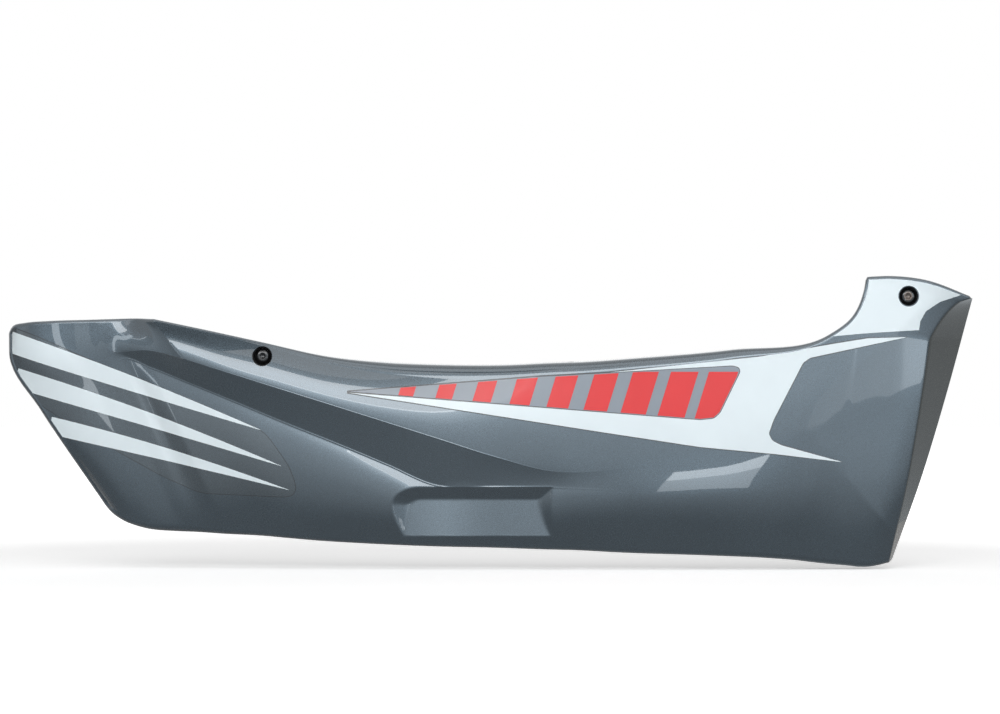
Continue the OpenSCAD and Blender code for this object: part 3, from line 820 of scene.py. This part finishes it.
def fin(name, degrees):
    """A thin plate that leans from the cup to the skin."""
    at = FIXINGS[name][0]
    a = math.radians(degrees)
    reach = np.array([math.cos(a), 0, -math.sin(a)])
    side = np.array([math.sin(a), 0, math.cos(a)]) * RIB / 2
    near, far = at + reach * (WELL_R + 0.5), at + reach * (WELL_R + FIN_L)
    back = at[1] + WELL_DEPTH + 1
    y0, y1 = (skin_depth(p[0], p[2]) - SKIN_BITE for p in (near, far))
    corners = ((near, y0), (far, y1), (far, y1 + FIN_TIP), (near, back))
    mesh = bmesh.new()
    low, high = (
        [mesh.verts.new((p[0] + k[0], y, p[2] + k[2])) for p, y in corners] for k in (-side, side))
    mesh.faces.new(low[::-1])
    mesh.faces.new(high)
    walled(mesh, low, high)
    softened(mesh, mesh.edges[:])
    return mesh


# %% Join the back parts
low = TONGUE_GAP - BOTTOM_LEAN
tongues = [tongue(FOOT_LINE, s, low, EDGE["bottom"], TONGUE_L) for s in BOTTOM_TONGUES]
for s in TOP_TONGUES:
    roll = line_at(TOP_LINE, np.array([s]))[0, 3]
    tongues.append(tongue(TOP_LINE, s, roll - RIB - 2 * TONGUE_GAP, EDGE["top"], TONGUE_L - 2))
fins = [fin(n, a) for n in FIXINGS for a in FIN_ANGLES[n]]
joined(panel, [cup(n) for n in FIXINGS] + fins + tongues)
print("panel with its back parts:", len(panel.data.polygons))


def finish_piece(obj, node, angle=38):
    """Smooth shading up to an angle. The piece hangs on the root body, and the CAD node it stands
    for is hidden.
    """
    obj.data.polygons.foreach_set("use_smooth", np.ones(len(obj.data.polygons), bool))
    obj.data.set_sharp_from_angle(angle=math.radians(angle))
    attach(obj, "root")
    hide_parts(node)
    return obj


finish_piece(panel, "panel")

# %% [markdown]
# ## Screws and washers
# A screw is a revolved form, and its socket is the only part that is not round. The socket could be
# cut out afterwards, but here a ring may follow a hexagon instead of a circle, so it belongs to the
# same closed mesh. The thread is a height on the shank that winds with the angle, as a die cuts it.

# %% Screws
THREAD_R, THREAD_L, THREAD_PITCH, THREAD_DEPTH = 3.0, 14.0, 1.0, 0.32
SHOULDER_R, HEAD_R, DOME_H, RIM_H = 4.0, 6.0, 3.2, 0.9
SOCKET_R, SOCKET_DEPTH = 2.3, 2.0
WASHER_T, WASHER_R, COLLAR_T = 1.5, 7.4, 0.8
THREAD_STEPS, THREAD_FADE, THREAD_POINT = 8, 0.8, 0.6
WORN_R = 3.1
ON_AXIS = 0.01


def hexagon(size):
    """A ring with six flats whose corners lie at the given radius."""
    turn = math.pi / 3
    return lambda a: size * math.cos(turn / 2) / np.cos((a % turn) - turn / 2)


def thread(y):
    """The thread's radius at each angle, at depth y behind the shoulder."""
    from_end = (THREAD_L - y) / THREAD_FADE
    groove = THREAD_DEPTH * max(0.0, min(1.0, y / THREAD_FADE, from_end))
    point = THREAD_POINT * max(0.0, 1 - from_end)
    wave = lambda a: 1 - np.abs(2 * ((y / THREAD_PITCH - a / (2 * math.pi)) % 1) - 1)
    return lambda a: THREAD_R - groove * wave(a) - point


def screw_rings():
    """Rings from the threaded end to the socket's bottom, with y from the seat's back."""
    top = -(SEAT + WASHER_T)
    count = int(THREAD_L / THREAD_PITCH * THREAD_STEPS)
    rings = [(THREAD_L, ON_AXIS)]
    rings += [(y, thread(y)) for y in np.linspace(THREAD_L, 0.02, count)]
    rings += [(0, THREAD_R), (0, SHOULDER_R - 0.3), (-0.3, SHOULDER_R), (top, SHOULDER_R)]
    rings += [(top, HEAD_R - 0.25), (top - 0.25, HEAD_R), (top - RIM_H + 0.1, HEAD_R)]
    rings += [(top - RIM_H - (DOME_H - RIM_H) * math.sin(a), HEAD_R * math.cos(a) ** 0.85)
              for a in np.radians(np.arange(4, 62, 4.0))]
    peak = top - DOME_H + 0.18
    rings += [(peak, SOCKET_R + 0.35), (peak + 0.05, SOCKET_R + 0.15)]
    end = peak + SOCKET_DEPTH
    return rings + [(peak + 0.3, hexagon(SOCKET_R)), (end - 0.2, hexagon(SOCKET_R)),
                    (end, hexagon(SOCKET_R - 0.25)), (end + 0.5, ON_AXIS)]


# %% Screws and washers in their wells


def revolved_piece(name, rings, at, finishes, node, closed=False):
    """A revolved form. A second finish covers the worn middle of its head."""
    points, faces = revolve(rings, closed=closed)
    obj = solid_object(name, points + at, faces, finishes)
    axis, under_head = to_frame(at), to_frame(at - [0, SEAT + WASHER_T, 0])[1]
    for f in obj.data.polygons:
        off = math.hypot(f.center.x - axis[0], f.center.z - axis[2])
        f.material_index = int(len(finishes) > 1 and off < WORN_R * MM and f.center.y < under_head)
    return finish_piece(obj, node, 32)


washer_rings = [
    (0, BORE_R), (0, WASHER_R - 0.15), (-0.15, WASHER_R), (0.1 - COLLAR_T, WASHER_R),
    (-COLLAR_T, WASHER_R - 0.1), (-COLLAR_T, WASHER_R - 0.42), (-COLLAR_T - 0.06, WASHER_R - 0.52),
    (0.08 - WASHER_T, HEAD_R + 0.28), (-WASHER_T, HEAD_R + 0.15), (-WASHER_T, BORE_R + 0.15),
    (0.15 - WASHER_T, BORE_R),
]
SCREWS = {
    "rear": ("black_screw", [black_screw]), "front": ("dark_screw", [black_screw, brown_screw]),
}
for name, (at, _) in FIXINGS.items():
    seat = at + [0, WELL_DEPTH, 0]
    slot, finishes = SCREWS[name]
    revolved_piece(
        name + "_dome_screw", screw_rings(), seat + [0, SEAT, 0], finishes, name + "_screw")
    revolved_piece(
        name + "_stepped_washer", washer_rings, seat, [washer_black],
        name + "_washer", closed=True)

# %% [markdown]
# ## Laying the films
# A decal is a thin sheet that takes the form of the panel. An image on the paint would be quicker,
# but it has no edge and no thickness. Here each outline is filled with triangles whose corners are
# the face's own mesh points, so the film follows the face closely. A ray finds the depth of every
# point, and the sheet is then given a thickness.

# %% Film helpers
FILM = 0.25
FILM_LIFT = 0.12
EDGE_STEP = 1.6
FILM_INSET = 0.25
POINT_GAP = 0.5
FAR_AHEAD, MIDDLE_DEPTH = -60.0, 20.0
SAME_POINT = 1e-5
FILM_ANGLE = 40
MITRE = 5.0
CORNER_STEPS = 5
face_points = drafted(face.reshape(-1, 3))
face_skin = BVHTree.FromPolygons([tuple(p) for p in face_points], as_tuples(grid_o))
face_outline = edge_points.copy()
face_outline[:, ::2] -= outward * FILM_INSET
face_outline = drafted(face_outline)[:, ::2]


def stepped(outline, step=EDGE_STEP):
    """A closed outline with points no further apart than step."""
    outline = np.asarray(outline, float)
    parts = []
    for a, b in zip(outline, np.roll(outline, -1, axis=0)):
        n = max(1, int(math.ceil(np.linalg.norm(b - a) / step)))
        parts.append(a + (b - a) * (np.arange(n) / n)[:, None])
    return np.concatenate(parts)


def inside(points, outline):
    """Which points lie inside a closed outline."""
    x, z = points[:, 0, None], points[:, 1, None]
    a, b = outline, np.roll(outline, -1, axis=0)
    spans = (a[:, 1] > z) != (b[:, 1] > z)
    rise = np.where(b[:, 1] == a[:, 1], 1e-9, b[:, 1] - a[:, 1])
    crossed = spans & (x < a[:, 0] + (z - a[:, 1]) * (b[:, 0] - a[:, 0]) / rise)
    return np.sum(crossed, axis=1) % 2 == 1


def clear_of(points, outline, gap):
    """Which points are at least a gap away from an outline."""
    found = np.ones(len(points), bool)
    for k in range(0, len(points), 4000):
        d = points[k:k + 4000, None] - outline[None]
        found[k:k + 4000] = (d ** 2).sum(-1).min(axis=1) > gap * gap
    return found


# %% Outlines grown and rounded


def grown(outline, width):
    """An anticlockwise outline, moved outwards by a width."""
    p = np.asarray(outline, float)
    way = along(np.roll(p, -1, axis=0) - p)
    out = np.stack([way[:, 1], -way[:, 0]], 1)
    corner = out + np.roll(out, 1, axis=0)
    corner /= np.maximum((corner ** 2).sum(1, keepdims=True) / 2, 2 / MITRE ** 2)
    return p + corner * width


def rounded(outline, radius):
    """An outline whose corners are quadratic curves."""
    p = np.asarray(outline, float)
    found = []
    for a, b, c in zip(np.roll(p, 1, axis=0), p, np.roll(p, -1, axis=0)):
        ra, rc = (min(radius, np.linalg.norm(q - b) * 0.45) for q in (a, c))
        start, end = b + along(a - b) * ra, b + along(c - b) * rc
        for t in np.linspace(0, 1, CORNER_STEPS):
            found.append(start * (1 - t) ** 2 + b * 2 * t * (1 - t) + end * t * t)
    return np.array(found)


# %% Filling an outline


def film_depth(x, z):
    hit = face_skin.ray_cast(Vector((x, FAR_AHEAD, z)), Vector((0, 1, 0)))[0]
    return (hit or face_skin.find_nearest(Vector((x, MIDDLE_DEPTH, z)))[0]).y


def filled(loops, dots, keep):
    """Triangles on loops and dots, as far as keep accepts their middles, and the middles."""
    edges, base = [], 0
    for loop in loops:
        edges += [(base + i, base + (i + 1) % len(loop)) for i in range(len(loop))]
        base += len(loop)
    points = [Vector(p) for p in np.concatenate(loops + [dots])]
    flat, _, triangles, *_ = delaunay_2d_cdt(points, edges, [], 0, SAME_POINT)
    flat, triangles = (np.array([tuple(row) for row in rows]) for rows in (flat, triangles))
    middle = flat[triangles].mean(axis=1)
    kept = keep(middle)
    return flat, triangles[kept], middle[kept]


def open_sides(triangles):
    """The sides that belong to one triangle only."""
    sides = np.concatenate([triangles[:, [0, 1]], triangles[:, [1, 2]], triangles[:, [2, 0]]])
    _, first, count = np.unique(
        np.sort(sides, axis=1), axis=0, return_index=True, return_counts=True)
    return sides[first[count == 1]]


# %% One film


def film_piece(name, outlines, level, finishes, node, hole=None, inner=None):
    """Films in one or more outlines. What lies inside the inner outline has the second finish."""
    points, faces, second = [], [], []
    for outline in map(stepped, outlines):
        def covered(dots):
            found = inside(dots, outline) & inside(dots, face_outline)
            return found if hole is None else found & ~inside(dots, hole)

        extra = [stepped(loop) for loop in (hole, inner) if loop is not None]
        loops = [outline, face_outline] + extra
        dots = face_points[:, ::2]
        dots = dots[covered(dots)]
        for loop in loops:
            dots = dots[clear_of(dots, loop, POINT_GAP)]
        flat, triangles, middle = filled(loops, dots, covered)
        used, triangles = np.unique(triangles, return_inverse=True)
        triangles, flat = triangles.reshape(-1, 3), flat[used]
        base, n = sum(map(len, points)), len(flat)
        under = np.array([(x, film_depth(x, z), z) for x, z in flat])
        under[:, 1] -= FILM * level + FILM_LIFT
        walls = [np.array([a, a + n, b + n, b]) for a, b in open_sides(triangles)]
        points += [under - [0, FILM, 0], under]
        faces += [f + base for f in [*triangles, *(triangles[:, ::-1] + n), *walls]]
        if inner is not None:
            second = inside(middle, np.asarray(inner, float))
    obj = mesh_object(name, np.concatenate(points), faces, finishes)
    index = np.zeros(len(faces), np.int32)
    index[:len(second)] = second
    obj.data.polygons.foreach_set("material_index", index)
    print(name, len(faces), "faces")
    return finish_piece(obj, node, FILM_ANGLE)


# %% [markdown]
# ## Films at the rear
# A clear film covers the rear end, and three pale stripes that taper to the front lie on it.
# Nothing but paint shows through the film, so it takes the paint's own finish and only its cut edge
# is darker. Each stripe is a bowed line with a width that shrinks along it.

# %% Rear films
REAR_OUTLINE = [
    (-6, 192), (20, 183), (73, 160), (150, 130), (202, 108), (222, 80), (228, 62), (223, 55),
    (150, 58), (118, 72), (60, 104), (20, 128), (-20, 160),
]
REAR_STRIPES = {
    "upper": ((-8, 180), (200, 108.5), 1, 17),
    "middle": ((0, 150), (216, 80), 2, 16),
    "lower": ((28, 112), (222, 61), 2, 14),
}
STRIPE_STEPS, STRIPE_TAPER = 60, 1.7
CUT_EDGE = 0.45


def stripe_outline(start, end, bow, width):
    start, end = np.array(start, float), np.array(end, float)
    way = along(end - start)
    side = np.array([-way[1], way[0]])
    t = np.linspace(0, 1, STRIPE_STEPS)[:, None]
    middle = start + (end - start) * t + side * bow * 4 * t * (1 - t)
    half = width / 2 * (1 - t ** STRIPE_TAPER)
    return np.concatenate([middle - side * half, (middle + side * half)[-2::-1]])


rear_border = rounded(REAR_OUTLINE, 9.0)
film_piece(
    "rear_clear_film", [rear_border], 0, [clear_edge, clear_vinyl], "rear_film",
    inner=grown(rear_border[::-1], -CUT_EDGE))
for name, stripe in REAR_STRIPES.items():
    film_piece(
        name + "_rear_stripe", [stripe_outline(*stripe)], 1, [white_vinyl],
        "rear_stripe_" + name)

# %% [markdown]
# ## The wedge on the side
# The side film is one sheet with a dark border and a grey field. A white frame lies on it, and
# slanted red bars, which grow towards the front, stand in its field.

# %% Side films
WEDGE_OUTLINE = [
    (268.5, 138.5), (468, 107.5), (547, 95.5), (606, 90), (660, 83.5), (611, 97), (604, 100.5),
    (601, 106), (605, 117), (628.5, 162), (634, 166), (662, 172), (712, 182.5), (680, 181.5),
    (655, 177.5), (594, 167), (475, 154.5), (573, 160), (578, 158.5), (579, 155), (563, 122.5),
    (558, 118), (547, 116.8),
]
FIELD_OUTLINE = [(268.5, 139.5)] + WEDGE_OUTLINE[:15:-1] + [(420, 151.5)]
BORDER = 0.7
BAR_COUNT = 9
BAR_START, BAR_PITCH, BAR_SLANT, BAR_HEIGHT = (300.0, 110.0), 30.0, 14.0, 45.0
BAR_WIDTH, BAR_GROWTH = 12.0, 1.4


side_outline = WEDGE_OUTLINE[:17] + [FIELD_OUTLINE[-1], FIELD_OUTLINE[0]]
film_piece(
    "side_grey_film", [grown(side_outline, BORDER)], 0, [dark_vinyl, grey_vinyl],
    "side_film", inner=rounded(grown(FIELD_OUTLINE, -0.5), 2.0))
film_piece(
    "white_wedge", [rounded(WEDGE_OUTLINE, 2.0)], 1, [white_vinyl], "wedge_decal")
bars = []
for n in range(BAR_COUNT):
    x, z = BAR_START[0] + n * BAR_PITCH, BAR_START[1]
    width = BAR_WIDTH + BAR_GROWTH * n
    top_x, top_z = x + BAR_SLANT, z + BAR_HEIGHT
    bars.append([(x, z), (x + width, z), (top_x + width, top_z), (top_x, top_z)])
print("bars:", len(bars))

# %% [markdown]
# ## The film on the neck
# The neck's film is cut off along the face's own border, so its outline may run past the panel:
# only what lies on the face is kept. A round hole leaves the well free.

# %% Neck film
NECK_OUTLINE = [
    (640, 182), (679, 185.5), (720, 188), (721.5, 188), (722.5, 195), (727, 203), (738.5, 210.5),
    (757, 216.5), (765, 220), (765, 240), (640, 240),
]
HOLE_STEPS, HOLE_GAP = 60, 0.3
turn = np.linspace(0, 2 * math.pi, HOLE_STEPS, endpoint=False)
well_hole = np.stack([np.cos(turn), np.sin(turn)], 1) * (WELL_R + LIP + HOLE_GAP) + FRONT_FIX[::2]
film_piece(
    "neck_white_film", [NECK_OUTLINE], 0, [white_vinyl], "neck_decal", hole=well_hole)

# %% [markdown]
# ## The red bars
# The bars lie in the film's grey field and end at its border. A slanted bar alone would stick out
# of the field, so each one is clipped first: both outlines are filled with triangles together, only
# those inside both are kept, and their open sides are the clipped outline.

# %% Bars in the field
BAR_STEP = 1.2
bar_field = grown(FIELD_OUTLINE, -1.0)


def clipped(outline, fence):
    """The part of a convex outline that lies within another outline."""
    loops = [stepped(outline, BAR_STEP), stepped(fence, BAR_STEP)]
    flat, triangles, _ = filled(
        loops, np.empty((0, 2)), lambda p: inside(p, np.asarray(outline, float)) & inside(p, fence))
    follow = {int(a): int(b) for a, b in open_sides(triangles)}
    loop = [next(iter(follow))]
    while follow[loop[-1]] != loop[0]:
        loop.append(follow[loop[-1]])
    return flat[loop]


film_piece(
    "red_bars", [clipped(bar, bar_field) for bar in bars], 1, [red_vinyl], "bar_decal")

# %% [markdown]
# ## Stage, light and camera
# Dark glossy bodywork is lit by what it mirrors, so the stage matters more than the lamps. A
# picture of a room would do the same, but plain cards are easier to place. The ground card darkens
# towards the cover, and the wall card behind the camera brightens upwards, which gives slow
# gradients. Small cards stand for windows and shade. Only reflections see the cards.

# %% Stage
STAGE_WHITE = 1.0
WORLD_DIFFUSE = 0.12
FLOOR_GAP = 0.0006
FLOOR_HALF = 6.0
FLOOR_WHITE = 0.93
FLOOR_NEAR, FLOOR_FAR, NEAR_GLOW = 0.5, 1.1, 0.45
CARD_TINT = (0.91, 0.98, 1.03)
floor_z = cad_box[0].z - FLOOR_GAP
middle_x = (cad_box[0].x + cad_box[1].x) / 2


def flat_card(name, corners, finish, camera=False):
    mesh = bpy.data.meshes.new(name)
    mesh.from_pydata(corners, [], [tuple(range(len(corners)))])
    mesh.materials.append(finish)
    card = placed(name, mesh)
    if not camera:
        card.visible_camera = card.visible_shadow = card.visible_diffuse = False


# %% Card and floor finishes


def card_finish(name, axis, stops, sideways=0.0):
    """A card whose brightness follows stops: pairs of a place along an axis and a level."""
    f = Finish(name)
    place, across = (f.node("SeparateXYZ", {0: f.place()}, o) for o in (axis, "X"))
    level = stops[0][1]
    for (start, low), (end, high) in zip(stops, stops[1:]):
        level = level + f.spread(place, 0.0, high - low, start, end)
    level = level * (across.math("MAXIMUM", across, 0.0) * sideways + 1.0)
    return f.show(f.glow(CARD_TINT, level))


def floor_finish():
    """A matt floor with the cover's shadow, which glows white for the camera further away."""
    f = Finish("pale_floor")
    off = f.node("VectorMath", {0: f.place(), 1: (middle_x, 0, floor_z)}, operation="SUBTRACT")
    away = f.node("VectorMath", {0: off}, "Value", operation="LENGTH")
    far = f.spread(away, NEAR_GLOW, 1.0, FLOOR_NEAR, FLOOR_FAR)
    seen = f.node("LightPath", output="Is Camera Ray") * far
    dark, bright = f.glow((0, 0, 0), 0.0), f.glow((1, 1, 1), STAGE_WHITE)
    shown = f.node("MixShader", {0: seen, 1: dark, 2: bright})
    matt = f.node("BsdfDiffuse", {"Color": [FLOOR_WHITE] * 3})
    return f.show(f.node("AddShader", {0: matt, 1: shown}))


# %% Card corners


def level_card(x, y, z, half_x, half_y):
    """Corners of a level rectangle about a centre."""
    return [(x + i * half_x, y + j * half_y, z) for i, j in ((-1, -1), (1, -1), (1, 1), (-1, 1))]


def standing_card(x0, x1, y0, y1, low, high):
    """Corners of an upright rectangle over the line from (x0, y0) to (x1, y1)."""
    return [(x0, y0, low), (x1, y1, low), (x1, y1, high), (x0, y0, high)]


# %% [markdown]
# ## The cards
# One table holds a card's corners in metres, the axis that its brightness follows and its levels
# along it. The low window shows under the side film, the front window at the neck's foot and the
# rear one at the rear tip.

# %% Cards
CARD_GAP, PATCH_GAP, PANE_H, STRIP_H = 0.0003, 0.002, 1.0, 0.32
card_z, patch_z, pane_top = floor_z + CARD_GAP, floor_z + PATCH_GAP, floor_z + PANE_H
strip_top = patch_z + STRIP_H
CANOPY = [(-0.75, 0.5), (-0.62, 0.38), (-0.5, 0.42), (-0.45, 0.55), (-0.4, 0.66), (-0.36, 0.8),
          (-0.3, 1.1), (-0.7, 1.1)]
SIDE_STOPS = [(0, 0.4), (3, 0.4)]
CARDS = {
    "ground_card": (level_card(middle_x, -2.235, card_z, 5.9, 2.235), "Y", [
        (-4.4, 1.35), (-2.0, 1.3), (-0.9, 1.2), (-0.3, 0.95), (-0.18, 0.75), (-0.1, 0.48)]),
    "wall_card": (standing_card(middle_x - 6.5, middle_x + 6.5, -4.5, -4.5, floor_z, 1.21), "Z", [
        (floor_z, 1.35), (0.3, 1.5), (0.7, 1.8), (0.95, 2.7), (1.2, 4.2)], 0.15),
    "low_window": ([
        (-0.184, -0.36, patch_z), (-0.093, -0.32, patch_z), (0.007, -1.10, patch_z),
        (-0.128, -1.15, patch_z)], "Y", [(-1.15, 7.0), (-0.72, 6.5), (-0.70, 3.8), (-0.32, 3.2)]),
    "rear_window": ([
        (-0.89, -0.40, patch_z), (-0.82, -0.37, patch_z), (-0.92, -0.34, strip_top),
        (-1.00, -0.38, strip_top)], "Z", [(floor_z, 4.0), (0.3, 4.5)]),
    "rear_shade": (
        standing_card(-4.5, -1.75, -2.5, -2.5, patch_z, 0.55), "Z", [(floor_z, 0.9), (0.55, 1.0)]),
    "canopy_shade": ([(x, -0.7, z) for x, z in CANOPY], "Z", [(0.3, 0.3), (1.1, 0.25)]),
    "front_window": ([
        (0.35, -2.0, floor_z + 0.085), (2.0, -0.9, patch_z), (2.0, -0.9, pane_top),
        (0.35, -2.0, pane_top)], "X", [(0.35, 1.9), (0.98, 2.6), (1.1, 3.6), (2.0, 3.6)]),
    "side_ground": (level_card(1.62, 1.38, card_z, 1.5, 1.37), "X", SIDE_STOPS),
    "side_wall": (standing_card(2.4, 2.4, -1.0, 3.0, floor_z, 1.6), "X", SIDE_STOPS),
}
floor = level_card(middle_x, 0, floor_z, FLOOR_HALF, FLOOR_HALF)
flat_card("floor", floor, floor_finish(), camera=True)
for name, (corners, *look) in CARDS.items():
    flat_card(name, corners, card_finish(name, *look))
print("cards:", len(CARDS))

# %% [markdown]
# ## World and lamps
# The world is white for the camera and in reflections, and dim in the light that it casts, so the
# background is pale and the shadow stays. Broad area lamps light the cover softly. A lamp's power
# is worked out from its size, so that its face has a set brightness.

# %% World and lamps
sky = Finish("studio", "worlds", "Background")
bpy.context.scene.world = sky.owner
camera_ray, glossy_ray, clear_ray = (
    sky.node("LightPath", output="Is %s Ray" % kind)
    for kind in ("Camera", "Glossy", "Transmission"))
seen = camera_ray + glossy_ray + clear_ray
sky.shade(Color=(1, 1, 1), Strength=sky.spread(seen, WORLD_DIFFUSE, STAGE_WHITE, 0.0, 1.0))

SUBJECT = Vector((middle_x, 0.0, -0.05))
LAMPS = {
    "front_box": ((-3.0, 1.15), (5.0, 0.8), 4.6),
    "ceiling_box": ((-1.3, 2.4), (4.0, 2.9), 0.9),
    "back_fill": ((2.6, 1.5), (3.0, 1.5), 0.9),
}
for name, (place, size, radiance) in LAMPS.items():
    data = bpy.data.lights.new(name, "AREA")
    data.shape, data.size, data.size_y = "RECTANGLE", *size
    data.energy = radiance * math.pi * size[0] * size[1]
    lamp = placed(name, data)
    lamp.location = (middle_x, *place)
    lamp.rotation_euler = (SUBJECT - lamp.location).to_track_quat("-Z", "Y").to_euler()
    print(name, round(data.energy, 1), "W")

# %% [markdown]
# ## The camera
# The picture is square on, so the camera looks straight at the cover's outer side. It stands three
# metres away with a long lens, which keeps the far and the near parts at one scale.

# %% Camera
CAMERA_AWAY = 3.0
VIEW_WIDTH = 0.79
VIEW_CENTRE = (388.7, 166.7)
SENSOR = 36.0
camera = placed("camera", bpy.data.cameras.new("camera"))
camera.location = to_frame([VIEW_CENTRE[0], -CAMERA_AWAY / MM, VIEW_CENTRE[1]])
camera.rotation_euler = (math.pi / 2, 0, 0)
camera.data.sensor_width = SENSOR
camera.data.lens = SENSOR * CAMERA_AWAY / VIEW_WIDTH
camera.data.clip_end = 60
bpy.context.scene.camera = camera
bpy.context.scene.view_settings.view_transform = "Standard"
print("lens: %.0f mm" % camera.data.lens)
